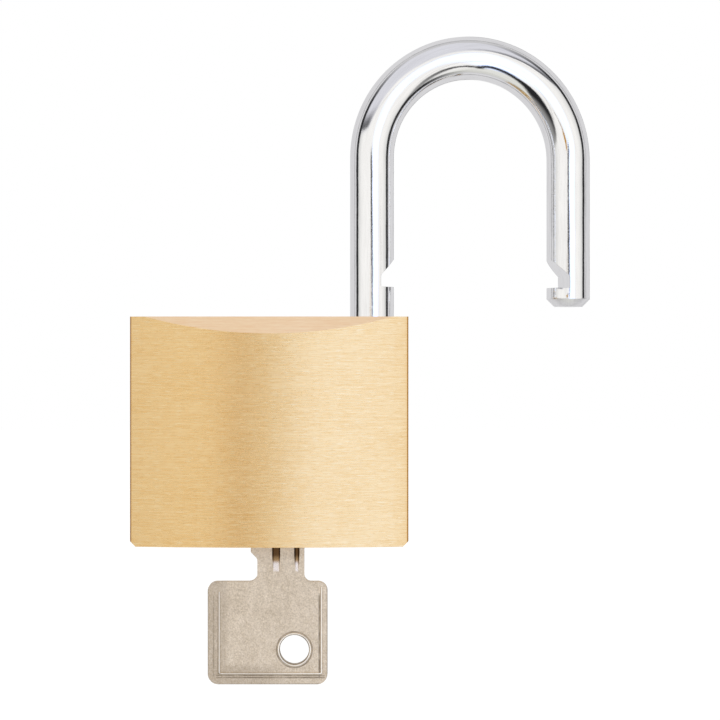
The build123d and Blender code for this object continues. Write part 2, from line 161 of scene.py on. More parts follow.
class Tree:
    """A node tree, with one way of adding any node."""

    def __init__(self, node_tree):
        self.nodes = node_tree.nodes
        self.links = node_tree.links

    def plug(self, socket, given):
        """Link a socket to a Value or an output, or set it to a plain value."""
        source = given.socket if isinstance(given, Value) else given
        if isinstance(source, bpy.types.NodeSocket):
            self.links.new(source, socket)
        else:
            socket.default_value = source

    def add(self, kind, settings=None, sockets=None):
        """Add a node: its settings first, then what its sockets get."""
        node = self.nodes.new(kind)
        for name, setting in (settings or {}).items():
            setattr(node, name, setting)
        self.wire(node, sockets or {})
        return node

    def wire(self, node, sockets):
        """Give a node's sockets what they need."""
        for name, given in sockets.items():
            self.plug(node.inputs[name], given)

    def value(self, kind, settings=None, sockets=None, output=0):
        """Add a node and return one of its outputs, ready for sums and links."""
        return Value(self, self.add(kind, settings, sockets).outputs[output])

    def place(self, kind="Object"):
        """Where each spot lies, as a vector."""
        return self.value("ShaderNodeTexCoord", output=kind)

    def axes(self, vector):
        """The x, y and z of a vector."""
        split = self.add("ShaderNodeSeparateXYZ", {}, {0: vector})
        return [Value(self, output) for output in split.outputs]

    def vector(self, x, y, z=0.0):
        """One vector from three numbers."""
        return self.value("ShaderNodeCombineXYZ", {}, {0: x, 1: y, 2: z})

    def noise(self, lengths, place, scale=1.0):
        """Noise with one length in metres, or drawn out by a length each along x, y and z."""
        sizes = lengths if isinstance(lengths, tuple) else (lengths,) * 3
        squeezed = self.value("ShaderNodeVectorMath", {"operation": "DIVIDE"}, {0: place, 1: sizes})
        return self.value("ShaderNodeTexNoise", {}, {"Vector": squeezed, "Scale": scale, "Detail": 3.0})

    def blend(self, factor, first, second):
        """Mix two colours."""
        return self.value("ShaderNodeMix", {"data_type": "RGBA"}, {0: factor, 6: first, 7: second}, 2)

    def mix_shaders(self, factor, first, second):
        """Mix two shaders."""
        return self.value("ShaderNodeMixShader", {}, {0: factor, 1: first, 2: second})


def cleared(owner):
    """The node tree of a world or a material, emptied."""
    owner.use_nodes = True
    owner.node_tree.nodes.clear()
    return owner.node_tree


def distance(across, up):
    """How far a spot lies from a centre, from how far it lies each way."""
    return (across * across + up * up).apply("SQRT")


def mottled(*noises):
    """Noises and their strengths, summed about a half and held between 0 and 1."""
    total = 0.5
    for noise, strength in noises:
        total = (noise - 0.5) * strength + total
    return total.within(0, 1)


class Metal(Tree):
    """The node tree of a new metal finish."""

    def __init__(self, name):
        self.finish = bpy.data.materials.new(name)
        super().__init__(cleared(self.finish))
        self.shader = self.add("ShaderNodeBsdfPrincipled", {}, {"Metallic": 1.0})
        self.add("ShaderNodeOutputMaterial", {}, {"Surface": self.shader.outputs[0]})

    def dressed(self, colour, roughness, height, strength, depth):
        """The finish with its colour, its roughness and a pattern of heights, depth metres deep."""
        pattern = {"Height": height, "Strength": strength, "Distance": depth}
        bump = self.value("ShaderNodeBump", {}, pattern)
        self.wire(self.shader, {"Base Color": colour, "Roughness": roughness, "Normal": bump})
        return self.finish


print("node helpers ready")

# %% [markdown]
# The studio
#
# Polished metal has no colour of its own to show: it shows the room. The white panel in front
# makes the bright middle of the bar, and the dark gaps beside it and at the camera draw the thin
# black lines. So the room is drawn in the world's shader, by direction: straight ahead of the
# lock is azimuth 0, its right is positive, and elevations are above the horizon. Only reflections
# see these gaps, and what the camera sees behind the lock stays plain white.

# %% Draw the room that the metal reflects
world = bpy.data.worlds.new("studio")
bpy.context.scene.world = world
room = Tree(cleared(world))

east, north, up = room.axes(room.place("Generated"))
ahead = 0 - north
degrees = 180 / math.pi
azimuth = east.sum_with("ARCTAN2", east, ahead) * degrees
elevation = up.apply("ARCSINE") * degrees
aside = azimuth.size()
in_front = ahead.step(0.0, 0.1)


def band(angle, centre, half_width, softness):
    """1 inside a band, 0 outside it."""
    return ((angle - centre).size() - half_width).fall(-softness, softness)


# The big panel, whose upper edge is low on the left and high in the middle
panel_top = 18.5 + azimuth.step(-38, -5) * 16 - azimuth.step(20, 60) * 5
above = elevation - panel_top
panel = in_front * above.fall(-3, 5) * elevation.step(-58, -46)

# The lens: black above, with a warm gap and a thin black gap under it
upper_lens = elevation.step(0.2, 1.0)
lens_centre = 1.5 - elevation.step(1, 3.6) * 5.5
lens_gap = band(azimuth, lens_centre, 4.2, 1.2) * upper_lens * elevation.fall(3.5, 7.5)
gap_azimuth = -8.8
far_below = elevation.fall(-9, -5)
warm_gap = band(azimuth, gap_azimuth, 3.4, 1.4) * (1 - far_below) * (1 - upper_lens)
thin_gap = band(azimuth, gap_azimuth, 1.0, 1.2) * elevation.step(-18, -14) * far_below

# Other dark places: the room's sides, the seam and the window's edge behind, the gap over the
# panel, the table's edge and the panel's own seams
side_centre = 0.1 - elevation.step(40, 85) * 0.2
side_gap = band(ahead, side_centre, 0.13, 0.05) * (1 - elevation.size().step(35, 72) * 0.85)
back_seam = band(ahead, -0.24, 0.035, 0.02) * 0.5
back_window_edge = band(ahead, -0.89, 0.02, 0.012) * east.step(0, 0.1) * 0.6
shoulder_gap = above.step(0, 3) * above.fall(4, 15) * aside.step(22, 48) * in_front * 0.85
table_centre = aside * 0.25 - band(azimuth, 33, 6, 7) * 13 - 47
table_half_width = 6.5 + (0 - azimuth).within(0, 50) * 0.3
table_edge = band(elevation, table_centre, table_half_width, 4) * in_front
table_gap = table_edge * (1 - aside.step(35, 80) * 0.45)
seams = band(elevation, 25.3, 0.9, 0.5) * 0.2 + band(elevation, -21, 0.9, 0.5) * 0.3
panel_seams = seams * aside.fall(40, 60)
dark = lens_gap
for gap in (thin_gap, side_gap, back_seam, back_window_edge, shoulder_gap, table_gap, panel_seams):
    dark = dark.at_least(gap)

left_white = (0.945, 0.930, 0.910, 1)
right_white = (1.09, 1.25, 1.70, 1)
panel_edge_grey = (0.66, 0.66, 0.65, 1)
ceiling_grey = (0.70, 0.70, 0.75, 1)
table_grey = (0.77, 0.77, 0.73, 1)
back_grey = (0.69, 0.685, 0.70, 1)
back_window = (0.98, 0.98, 0.98, 1)
gap_black = (0.02, 0.02, 0.022, 1)
warm_shadow = (0.46, 0.22, 0.0, 1)
from_window = azimuth.step(-5, 9) * azimuth.fall(26, 34) * elevation.fall(12, 30)
panel_white = room.blend(from_window, left_white, right_white)
panel_light = room.blend(aside.step(48, 85), panel_white, panel_edge_grey)
around = room.blend(elevation.step(-8, 8), table_grey, ceiling_grey)
in_window = north.step(0.91, 0.94) * east.step(-0.18, -0.10)
behind = room.blend(in_window, back_grey, back_window)
lit = room.blend(panel, room.blend(in_front, behind, around), panel_light)
seen_in_metal = room.blend(dark, room.blend(warm_gap, lit, warm_shadow), gap_black)


def glow(colour, strength):
    """A light for the world."""
    return room.value("ShaderNodeBackground", {}, {"Color": colour, "Strength": strength})


white = (1, 1, 1, 1)
rays = room.add("ShaderNodeLightPath").outputs
for_pieces = room.mix_shaders(rays["Is Glossy Ray"], glow(white, 0.95), glow(seen_in_metal, 1.0))
sky = room.mix_shaders(rays["Is Camera Ray"], for_pieces, glow(white, 1.0))
room.add("ShaderNodeOutputWorld", {}, {"Surface": sky})
print("room nodes:", len(room.nodes))

# %% [markdown]
# The floor and one soft lamp
#
# The floor is plain and pale, and keeps the lock's shadow. Most of what the camera sees of it is
# its own white, so that it reads as paper, and the rest is lit. It lies low enough for the key
# to be drawn all the way. Metal doesn't see the floor, because the room's drawing already has
# what lies below.

# %% Lay the floor and hang the lamp
key_travel = 0.030
floor_gap = 0.0005
floor_half = 3.0
floor_z = cad_box[0].z - key_travel - floor_gap

floor_mesh = bpy.data.meshes.new("floor")
floor_mesh.from_pydata(
    [(x * floor_half, y * floor_half, floor_z) for x, y in ((-1, -1), (1, -1), (1, 1), (-1, 1))],
    [],
    [(0, 1, 2, 3)],
)
floor = put_in_scene("floor", floor_mesh)
floor.visible_glossy = False

paper = bpy.data.materials.new("paper")
sheet = Tree(cleared(paper))
lit_paper = sheet.value("ShaderNodeBsdfDiffuse", {}, {"Color": (0.9, 0.9, 0.9, 1)})
white_paper = sheet.value("ShaderNodeEmission", {}, {"Color": white, "Strength": 1.08})
own_white = sheet.value("ShaderNodeLightPath", output="Is Camera Ray") * 0.85
mixed_paper = sheet.mix_shaders(own_white, lit_paper, white_paper)
sheet.add("ShaderNodeOutputMaterial", {}, {"Surface": mixed_paper})
floor_mesh.materials.append(paper)

lamp_data = bpy.data.lights.new("soft_lamp", "AREA")
lamp_data.shape = "DISK"
lamp_data.size = 0.5
lamp_data.energy = 1.2
lamp = put_in_scene("soft_lamp", lamp_data)
lamp.location = (-0.25, -0.45, 0.75)
lamp_aim = Vector((0, 0, 0.03))
lamp.rotation_euler = (lamp_aim - lamp.location).to_track_quat("-Z", "Y").to_euler()
lamp.visible_glossy = False
print("floor at", round(floor_z * 1000, 1), "mm")

# %% [markdown]
# A bench in millimetres
#
# Small parts are easier to think of in millimetres. Each piece is built at its own place on such
# a bench, from prisms that are joined or cut. Then it becomes a plain mesh in metres, with its
# sharp edges marked, so that curved faces shade smoothly and flat ones stay flat.


# %% Make and cut solids on the bench
mm = 0.001
sharp_angle = 45


def on_bench(tool):
    """A new bench object from a bmesh."""
    mesh = bpy.data.meshes.new("bench")
    tool.to_mesh(mesh)
    tool.free()
    return put_in_scene("bench", mesh)


def prism(outline, low, high, along="Z"):
    """A closed prism: an outline pushed from low to high along an axis."""
    spots = {
        "X": lambda a, b, h: (h, a, b),
        "Y": lambda a, b, h: (a, h, b),
        "Z": lambda a, b, h: (a, b, h),
    }[along]
    tool = bmesh.new()
    ends = [[tool.verts.new(spots(a, b, h)) for a, b in outline] for h in (low, high)]
    tool.faces.new(ends[0])
    tool.faces.new(ends[1])
    for index in range(len(outline)):
        after = (index + 1) % len(outline)
        tool.faces.new((ends[0][index], ends[0][after], ends[1][after], ends[1][index]))
    bmesh.ops.recalc_face_normals(tool, faces=tool.faces)
    return on_bench(tool)


def circle(centre, radius, steps=96):
    """Points of a circle."""
    angles = [2 * math.pi * step / steps for step in range(steps)]
    return [(centre[0] + radius * math.cos(a), centre[1] + radius * math.sin(a)) for a in angles]


def rounded(corners, radii, steps=8):
    """An outline with its corners rounded, one radius for each."""
    points = []
    for index, (corner, radius) in enumerate(zip(corners, radii)):
        spot = Vector(corner)
        before = (Vector(corners[index - 1]) - spot).normalized()
        after = (Vector(corners[(index + 1) % len(corners)]) - spot).normalized()
        if radius == 0:
            points.append(tuple(spot))
            continue
        half = before.angle(after) / 2
        centre = spot + (before + after).normalized() * (radius / math.sin(half))
        start = spot + before * (radius / math.tan(half)) - centre
        end = spot + after * (radius / math.tan(half)) - centre
        turn = start.angle_signed(end)
        for step in range(steps + 1):
            points.append(tuple(centre + Matrix.Rotation(-turn * step / steps, 2) @ start))
    return points


def bore(centre, radius, low, high, along="Z", steps=96):
    """A round cutter."""
    return prism(circle(centre, radius, steps), low, high, along)


def cut_out(thing, others):
    """Cut others out of a thing."""
    for other in others:
        modifier = thing.modifiers.new("cut", "BOOLEAN")
        modifier.operation = "DIFFERENCE"
        modifier.solver = "EXACT"
        modifier.object = other


def soften(thing, width, segments=2, angle=25):
    """Round every edge that is sharper than an angle."""
    modifier = thing.modifiers.new("soft_edges", "BEVEL")
    modifier.width = width
    modifier.segments = segments
    modifier.limit_method = "ANGLE"
    modifier.angle_limit = math.radians(angle)
    modifier.use_clamp_overlap = True


def flat_sided(thing):
    """Cut a bench object's faces into triangles, so that none of them is bent."""
    tool = bmesh.new()
    tool.from_mesh(thing.data)
    bmesh.ops.triangulate(tool, faces=tool.faces)
    tool.to_mesh(thing.data)
    tool.free()


def result_of(thing):
    """The mesh that an object's modifiers make, as plain data of its own."""
    graph = bpy.context.evaluated_depsgraph_get()
    return bpy.data.meshes.new_from_object(thing.evaluated_get(graph))


def to_metres(thing, name, finish, scrap=()):
    """Turn a bench object into a plain finished mesh, and clear the bench."""
    mesh = result_of(thing)
    mesh.transform(Matrix.Scale(mm, 4))
    mesh.materials.clear()
    mesh.materials.append(finish)
    mesh.shade_smooth()
    mesh.set_sharp_from_angle(angle=math.radians(sharp_angle))
    for old in (thing, *scrap):
        bpy.data.objects.remove(old)
    piece = put_in_scene(name, mesh)

    # Large flat faces keep their own direction, and the narrow bevels turn between them
    even = piece.modifiers.new("even_shading", "WEIGHTED_NORMAL")
    even.keep_sharp = True
    piece.data = result_of(piece)
    piece.data.name = name
    piece.modifiers.clear()
    print(name, "has", sum(len(face.vertices) - 2 for face in piece.data.polygons), "triangles")
    return piece


# %% [markdown]
# Brushed brass
#
# The block is ground on a belt, which leaves fine lines that run level round it. They blur a
# reflection up and down and keep it sharp from side to side, which is why the dark gap in the
# room shows as one soft upright band. The streaks follow a coordinate whose first axis always
# lies along the grinding. The bevels on top are milled afterwards, so they are finer and paler.


# %% Mix the brushed brass
def ground_brass(tree, along, place, milled, edge):
    """Belt-ground brass, milled where milled is 1 and given a painted shade where edge is 1."""
    fine = tree.noise((0.0014, 0.00007, 1), along)
    streak = tree.noise((0.0024, 0.00017, 1), along)
    long = tree.noise((0.009, 0.0003, 1), along)
    cloud = tree.noise((0.012, 0.012, 0.006), place)
    bright_dash = tree.noise((0.0019, 0.00015, 1), along).step(0.56, 0.66)
    dark_dash = tree.noise((0.0016, 0.00013, 1), along, 1.3).step(0.60, 0.70)
    scratch = tree.noise((0.0005, 0.004, 1), along).step(0.70, 0.73)

    pale = (0.98, 0.725, 0.380, 1)
    deep = (0.85, 0.550, 0.228, 1)
    shiny = (1.0, 0.840, 0.540, 1)
    dull = (0.69, 0.395, 0.130, 1)
    fresh = (1.0, 0.790, 0.560, 1)
    fresh_line = (0.93, 0.650, 0.400, 1)
    # A dark brown for the block's rounded edges: painted shade where the edges turn away from the light
    painted_light_tone = (0.62, 0.300, 0.070, 1)
    mottle = mottled((streak, 1.5), (long, 1.2), (fine, 0.9), (cloud, 0.5))
    ground = tree.blend(mottle, deep, pale)
    dashed = tree.blend(bright_dash * 0.45, ground, shiny)
    nicked = tree.blend(dark_dash * 0.40, dashed, dull)
    lined = tree.blend(mottle, fresh_line, fresh)
    faced = tree.blend(milled * 0.9, nicked, lined)
    roughness = 0.225 + streak * 0.07 + cloud * 0.03 + milled * 0.28
    lines = streak * 0.7 + fine * 0.4 + bright_dash * 0.2 - dark_dash * 0.4 - scratch * 0.25
    # Painted shade along the rounded edges at the sides and the bottom
    colour = tree.blend(edge * 0.85, faced, painted_light_tone)
    blur = {"Anisotropic": 0.82, "Anisotropic Rotation": 0.25}
    tree.wire(tree.shader, {"Metallic": 1 - milled * 0.5, **blur})
    return tree.dressed(colour, roughness, lines * (1 - milled * 0.6), 0.22, 0.00003)


def block_brass():
    """Brass for the block, which has a UV map for its grain and marks its milled faces."""
    tree = Metal("brushed_brass")
    along = tree.value("ShaderNodeUVMap", {"uv_map": "grain"})
    milled = tree.value("ShaderNodeAttribute", {"attribute_name": "milled"}, output="Fac")
    edge = tree.value("ShaderNodeAttribute", {"attribute_name": "edge"}, output="Fac")
    return ground_brass(tree, along, tree.place(), milled, edge)


def side_brass():
    """Brass for what is ground flush with the block's sides, where the grain runs along Y."""
    tree = Metal("side_brass")
    x, y, z = tree.axes(tree.place())
    nothing = x * 0
    return ground_brass(tree, tree.vector(y, z), tree.place(), nothing, nothing)


brass = block_brass()
flush_brass = side_brass()
print("brass nodes:", len(brass.node_tree.nodes))

# %% [markdown]
# The block
#
# Its plan has two shallow arcs, and flat bevels along the top cut them in a lens-shaped edge.
# Arcs, bevels and bores are all plain prisms, so cutting them from one another gives exact
# edges. A narrow bevel then takes the knife edge off, as tumbling does on the real one.

# %% Cut the block from prisms
half_width = 25.0
block_height = 41.3
half_depth = 9.0
face_radius = 105.0
arc_steps = 72
side_edge_round = 0.35
bevel_run = 2.4
bevel_drop = 3.05
bottom_chamfer = 1.0
leg_x = 18.5
leg_bore_radius = 4.15
heel_bore_floor = 1.6
toe_bore_floor = 27.0
plug_bore_radius = 6.55
pins = range(1, 6)
snap_ring_z = 24.05
pin_pitch = snap_ring_z / (len(pins) + 1)
chamber_radius = 1.45
chamber_end_x = -6.0
bolt_axis_z = 34.75
channel_radius = 3.35
pin_hole_centre = (4.07, 24.28)
pin_hole_radius = 1.12
pin_hole_end_x = 14.4

# Cutters and drills start this far out, clear of the block
past_sides = 30.0
past_faces = 12.0
drill_start = 26.0


def bowed_face(side):
    """Points of the front arc (side -1) or the back arc (side 1), going round the block."""
    reach = math.asin(half_width / face_radius)
    centre_y = side * (half_depth - face_radius)
    points = []
    for step in range(arc_steps + 1):
        angle = reach * (2 * step / arc_steps - 1)
        x = -side * face_radius * math.sin(angle)
        points.append((x, centre_y + side * face_radius * math.cos(angle)))
    return points


plan = bowed_face(-1) + bowed_face(1)
corner_round = [0.0] * len(plan)
for corner in (0, arc_steps, arc_steps + 1, 2 * arc_steps + 1):
    corner_round[corner] = side_edge_round
block = prism(rounded(plan, corner_round, 5), 0, block_height)

in_y = bevel_run - half_depth
out_y = -bevel_run - half_depth
over = block_height + bevel_drop
top_wedge = [
    (in_y, block_height),
    (out_y, block_height - 2 * bevel_drop),
    (out_y, over),
    (in_y, over),
]
out_x = half_width + bottom_chamfer
bottom_wedge = [
    (half_width - 2 * bottom_chamfer, -bottom_chamfer),
    (out_x, 2 * bottom_chamfer),
    (out_x, -bottom_chamfer),
]
cutters = []
for side in (1, -1):
    cutters.append(prism([(side * y, z) for y, z in top_wedge], -past_sides, past_sides, "X"))
    cutters.append(prism([(side * x, z) for x, z in bottom_wedge], -past_faces, past_faces, "Y"))
cutters.append(bore((0, 0), plug_bore_radius, -1, bolt_axis_z, steps=128))
cutters.append(bore((leg_x, 0), leg_bore_radius, heel_bore_floor, block_height + 1))
cutters.append(bore((-leg_x, 0), leg_bore_radius, toe_bore_floor, block_height + 1))
for pin in pins:
    cutters.append(bore((0, pin_pitch * pin), chamber_radius, -drill_start, chamber_end_x, "X", 48))
cutters.append(bore((0, bolt_axis_z), channel_radius, -drill_start, leg_x, "X", 64))
cutters.append(bore(pin_hole_centre, pin_hole_radius, pin_hole_end_x, drill_start, "X", 48))
cut_out(block, cutters)
soften(block, 0.14)
block_piece = to_metres(block, "brass_block", brass, cutters)

# %% [markdown]
# The grain of the block
#
# A UV map holds the grinding direction: across the front and back it runs along X, on the ends
# along Y. Both axes are kept in metres, so one set of streak sizes serves every face. The
# bevelled faces get a mark of their own, which the finish reads to turn paler there.


# %% Lay the grain and mark the milled faces
def lay_grain(piece):
    """Give a piece a UV map whose first axis runs level, in metres."""
    mesh = piece.data
    grain = mesh.uv_layers.new(name="grain")
    for face in mesh.polygons:
        facing = face.normal
        on_end = abs(facing.x) > max(abs(facing.y), abs(facing.z))
        on_top = abs(facing.z) > 0.85
        for loop in face.loop_indices:
            x, y, z = mesh.vertices[mesh.loops[loop].vertex_index].co
            level = y if on_end else x
            grain.data[loop].uv = (level, y if on_top else z)


def mark(piece, name, chosen):
    """Give every corner of the chosen faces the value 1."""
    mesh = piece.data
    layer = mesh.attributes.new(name, "FLOAT", "CORNER")
    for face in mesh.polygons:
        for loop in face.loop_indices:
            layer.data[loop].value = float(chosen(face))


def is_milled(face):
    """The sloping faces near the top."""
    lowest = (block_height - 2 * bevel_drop) * mm
    return 0.3 < face.normal.z < 0.9 and face.center.z > lowest


def is_shaded_edge(face):
    """The narrow rounded edges at the sides and the bottom of the front and back."""
    across, through, upward = face.normal
    return abs(through) > 0.3 and (abs(across) > 0.3 or upward < -0.3)


lay_grain(block_piece)
mark(block_piece, "milled", is_milled)
# The brass finish paints shade on these rounded edges
mark(block_piece, "edge", is_shaded_edge)
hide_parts("lock_body")
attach(block_piece, "lock")
print("grain laid on", len(block_piece.data.polygons), "faces")

# %% [markdown]
# Shapes that follow a path
#
# The bent bar, the coils and the key's raised lines are all one idea: a round section led along
# a line. Geometry Nodes say that once. Each tree gets named inputs for its sizes, so the same
# tree makes eight springs, and its result is turned into a plain mesh before anything moves it.


# %% Build and run node trees that make shapes
class ShapeTree(Tree):
    """A Geometry Nodes tree with named inputs, which leads a round section along a line."""

    def __init__(self, name, inputs):
        self.group = bpy.data.node_groups.new(name, "GeometryNodeTree")
        super().__init__(self.group)
        face = self.group.interface
        for label, kind in {"Geometry": "Geometry", **inputs, "Finish": "Material"}.items():
            face.new_socket(label, in_out="INPUT", socket_type="NodeSocket" + kind)
        face.new_socket("Geometry", in_out="OUTPUT", socket_type="NodeSocketGeometry")
        self.given = self.nodes.new("NodeGroupInput")

    def input(self, label):
        """One of the tree's inputs, ready for sums and links."""
        return Value(self, self.given.outputs[label])

    def given_line(self):
        """The line of points that the tree runs on, as a curve."""
        return self.value("GeometryNodeMeshToCurve", {}, {0: self.input("Geometry")})

    def moved(self, curve, spot):
        """A curve with its points moved to where sums say."""
        return self.value("GeometryNodeSetPosition", {}, {"Geometry": curve, "Position": spot})

    def sweep(self, curve, radius, round_steps, scale=1.0):
        """Lead the section along a curve, realize it, give it the material and close the tree."""
        sizes = {"Resolution": round_steps, "Radius": radius}
        ring = self.value("GeometryNodeCurvePrimitiveCircle", {"mode": "RADIUS"}, sizes)
        ways = {"Curve": curve, "Profile Curve": ring, "Scale": scale, "Fill Caps": True}
        swept = self.value("GeometryNodeCurveToMesh", {}, ways)
        solid = self.value("GeometryNodeRealizeInstances", {}, {0: swept})
        dressed = self.value("GeometryNodeSetMaterial", {}, {0: solid, "Material": self.input("Finish")})
        self.add("NodeGroupOutput", {}, {0: dressed})


def grow(tree, name, sizes, points=(), closed=False, thickness=()):
    """Run a shape tree on a line of points, and return the result as a plain bench object."""
    start = bpy.data.meshes.new(name + "_line")
    count = len(points)
    edges = [(index, (index + 1) % count) for index in range(count - 1 + closed)]
    start.from_pydata(points, edges, [])
    if thickness:
        start.attributes.new("thickness", "FLOAT", "POINT").data.foreach_set("value", thickness)
    holder = put_in_scene(name, start)
    modifier = holder.modifiers.new("shape", "NODES")
    modifier.node_group = tree.group
    for socket in tree.group.interface.items_tree:
        if socket.in_out == "INPUT" and socket.name in sizes:
            modifier[socket.identifier] = sizes[socket.name]
    mesh = result_of(holder)
    bpy.data.objects.remove(holder)
    return put_in_scene(name, mesh)


print("shape trees ready")

# %% [markdown]
# Chrome plate
#
# Polished plate is almost a mirror. What gives it away as metal is small: draw lines that run
# along the bar, a faint waviness, and hairline scratches. They must stay weak, because any more
# turns the crisp black lines of the room into fog. The marks were made while the bar was still
# straight, so the finish reads where each spot lay before the bending.

# %% Give the shackle's sizes
span = 2 * leg_x
bend = span / 2
crown_z = 70.2
bar_radius = 4.0
heel_end_z = 20.86
collar_chamfer = 0.5
collar_height = 2.2
neck_radius = 2.85
neck_top_z = 40.5
toe_tip_z = 43.3
toe_chamfer = 1.4
shelf_z = 46.75
notch_depth = 3.2
notch_flat = 2.1
swing = math.radians(180 - 168)
toe_start = crown_z + math.pi * bend
bar_end = toe_start + crown_z - toe_tip_z
print("shackle opening:", span - 2 * bar_radius, "mm wide")


# %% Mix the chrome
def chrome_plate():
    """Bright plate with draw lines, faint waves and specks."""
    tree = Metal("chrome_plate")
    place = tree.value("ShaderNodeAttribute", {"attribute_name": "before_bending"}, output="Vector")
    run = tree.axes(place)[2]
    wave = tree.noise((0.004, 0.004, 0.009), place)
    drawn = tree.noise((0.0003, 0.0003, 0.004), place)
    haze = tree.noise((0.0008, 0.0008, 0.010), place)
    grit = tree.noise(0.00022, place)
    speck = grit.step(0.66, 0.78)
    streaks = drawn.step(0.35, 0.75) * 0.30 + haze.step(0.40, 0.70) * 0.25
    clean = (0.985, 0.985, 0.985, 1)
    dulled = (0.80, 0.80, 0.805, 1)
    colour = tree.blend(speck * 0.4 + streaks, clean, dulled)

    # The chamfer on the free end is turned, not polished
    turned_from = (bar_end - toe_chamfer) * mm
    turned_tip = run.step(turned_from - 0.0003, turned_from)
    roughness = 0.05 + drawn * 0.07 + speck * 0.10 + turned_tip * 0.22
    return tree.dressed(colour, roughness, wave * 1.9 + drawn * 0.30 + grit * 0.20, 0.14, 0.0001)


chrome = chrome_plate()
print("chrome nodes:", len(chrome.node_tree.nodes))

# %% [markdown]
# The shackle
#
# One formula bends a straight line of points into the shackle: up, round a half circle and down.
# Each point carries the bar's thickness there, which turns the collar, the neck and the toe's
# chamfer in the same pass. So the bar stays round everywhere, and its ends are closed.

# %% Bend the bar
bar_inputs = {"Span": "Float", "Rise": "Float", "Start Height": "Float", "Round Steps": "Int"}
bar_tree = ShapeTree("bent_bar", bar_inputs)
run = bar_tree.axes(bar_tree.value("GeometryNodeInputPosition"))[2]
bend_radius = bar_tree.input("Span") / 2
rise = bar_tree.input("Rise")
turned = ((run - rise) / (bend_radius * math.pi)).within(0, 1) * math.pi
past = (run - rise - bend_radius * math.pi).at_least(0)
short = (rise - run).at_least(0)
bar_x = bend_radius - bend_radius * turned.apply("COSINE")
bar_z = bar_tree.input("Start Height") + rise + bend_radius * turned.apply("SINE") - past - short
bent_line = bar_tree.moved(bar_tree.given_line(), bar_tree.vector(bar_x, 0.0, bar_z))
numbers = {"data_type": "FLOAT"}
thickness = bar_tree.value("GeometryNodeInputNamedAttribute", numbers, {"Name": "thickness"})
bar_tree.sweep(bent_line, 1.0, bar_tree.input("Round Steps"), thickness)

heel_rise = crown_z - heel_end_z
bar_length = bar_end - heel_end_z
neck_top = neck_top_z - heel_end_z
hair = 0.002
stations = [
    (0, bar_radius - collar_chamfer),
    (collar_chamfer, bar_radius),
    (collar_height, bar_radius),
    (collar_height + hair, neck_radius),
    (neck_top - hair, neck_radius),
    (neck_top, bar_radius),
]
bends = 120
for step in range(bends + 1):
    stations.append((heel_rise + math.pi * bend * step / bends, bar_radius))
stations += [(bar_length - toe_chamfer, bar_radius), (bar_length, bar_radius - toe_chamfer)]
bar = grow(
    bar_tree,
    "bar",
    {"Span": span, "Rise": heel_rise, "Start Height": heel_end_z, "Round Steps": 160, "Finish": chrome},
    [(0, 0, run_at) for run_at, radius in stations],
    thickness=[radius for run_at, radius in stations],
)
print("bar length along its middle:", round(bar_length, 1), "mm")

# %% [markdown]
# The notches
#
# A notch is milled across the inner side of each leg: a flat shelf, which a bolt holds down, and
# a slope above it, where the cutter runs out. One four-sided prism makes both. The shackle is
# cut while it stands square, where its sides lie along the axes, and is swung out afterwards.

# %% Cut the notches and swing the shackle out
past_bar = bar_radius + 2
notch_cutters = []
for inner_side, inward in ((bar_radius, -1), (span - bar_radius, 1)):
    deep_x = inner_side + inward * notch_depth
    open_x = inner_side - inward * bar_radius
    outline = [
        (deep_x, shelf_z),
        (deep_x, shelf_z + notch_flat),
        (open_x, shelf_z + notch_flat + notch_depth + bar_radius),
        (open_x, shelf_z),
    ]
    notch_cutters.append(prism(rounded(outline, (0.25, 0.6, 0, 0), 6), -past_bar, past_bar, "Y"))
cut_out(bar, notch_cutters)
soften(bar, 0.1)
shackle_piece = to_metres(bar, "chromed_shackle", chrome, notch_cutters)


def mark_unbent(piece):
    """Write down where every corner of the shackle lay before the bar was bent, in metres."""
    layer = piece.data.attributes.new("before_bending", "FLOAT_VECTOR", "POINT")
    for corner, spot in zip(piece.data.vertices, layer.data):
        x, y, z = corner.co / mm
        if z > crown_z:
            sideways = bend - math.hypot(bend - x, z - crown_z)
            run_at = crown_z + bend * math.atan2(z - crown_z, bend - x)
        elif x < bend:
            sideways, run_at = x, z
        else:
            sideways, run_at = span - x, toe_start + crown_z - z
        spot.vector = Vector((sideways, y, run_at)) * mm


mark_unbent(shackle_piece)
swung = Matrix.Translation((leg_x * mm, 0, 0)) @ Matrix.Rotation(swing, 4, "Z")
shackle_piece.data.transform(swung)
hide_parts("shackle")
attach(shackle_piece, "shackle")

# %% [markdown]
# Stamped nickel silver
#
# The key is pressed from a soft grey alloy and tumbled, which leaves a dull, slightly pebbled
# skin. Raised lines are rubbed to a polish and given a painted highlight. Painted shade darkens
# their feet, the hole's rim, the bow's outer edge and margin, and the field inside the border.
# Inside the milled grooves the cutter has gone through to warmer metal, which is clean where the
# cutter ran out, and painted shade darkens their flanks and their ends nearest the block. All of
# these are told apart by depth and height on the key itself.

# %% Give the key's sizes
blade_left = -2.3
blade_right = 6.2
blade_tip = 22.6
tip_left = 1.6
tip_corner = 1.0
tip_chamfer = 2.4
first_cut = 0.5
cut_step = 0.6
cut_land = 0.75
stop_top = -0.05
stop_height = 1.3
stop_width = 1.2
bow_left = -11.3
bow_right = 10.4
bow_top = -6.65
bow_bottom = -25.3
key_half = 1.1
rim_step = 0.15
border_left = bow_left + 1.85
border_right = bow_right - 0.85
border_low = bow_bottom + 1.75
border_high = bow_top - 1.8
ridge_radius = 0.22
ridge_proud = 0.18
hole = (4.4, -19.0)
hole_radius = 2.65
hole_rim = 0.5
grooves = ((0.3, 1.9, -1), (4.3, 5.4, -1), (2.3, 3.7, 1))
groove_depth = 0.7
groove_clear = 0.2
flank_width = 0.3
run_out_start = -5.65
run_out_slope = 0.3
print("key:", round(blade_tip - bow_bottom, 1), "mm long")


